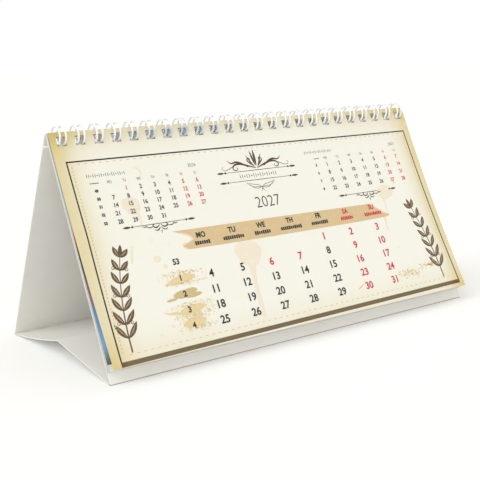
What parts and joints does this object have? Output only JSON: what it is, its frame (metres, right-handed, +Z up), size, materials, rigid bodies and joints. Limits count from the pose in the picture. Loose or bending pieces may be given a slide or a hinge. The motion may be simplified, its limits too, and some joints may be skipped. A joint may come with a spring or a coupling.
{
  "type": "desk calendar",
  "caption": "Tent-shaped desk calendar: a folded card easel with a pad of month sheets on its front, bound along the ridge with a twin-loop wire.",
  "frame": {"origin": "middle of the front fold, on the surface that the calendar stands on", "axes": "+X along the wire binding, +Y from the printed front to the back, +Z up"},
  "size_m": [0.2082, 0.0941, 0.0989],
  "materials": {
    "card": "smooth white card",
    "wire": "white coating",
    "pad": "matte",
    "sheet": "printed, matte",
    "ink_brown": "printed, matte",
    "ink_ribbon": "printed, matte",
    "ink_blots": "printed, matte",
    "ink_sprigs": "printed, matte",
    "ink_second": "printed, matte"
  },
  "bodies": {
    "easel": {"easel_card": "card", "wire_binding": "wire", "page_block": "pad", "second_sheet_print": "ink_second"},
    "page": {"month_sheet": "sheet", "print_border": "ink_brown", "print_ribbon": "ink_ribbon", "print_blots": "ink_blots", "print_sprigs": "ink_sprigs"}
  },
  "joints": [
    {"name": "page_turn", "type": "hinge", "parent": "easel", "child": "page", "pos_m": [0, 0.04224, 0.09565], "axis": [-1, 0, 0], "range_deg": [0, 240]}
  ]
}
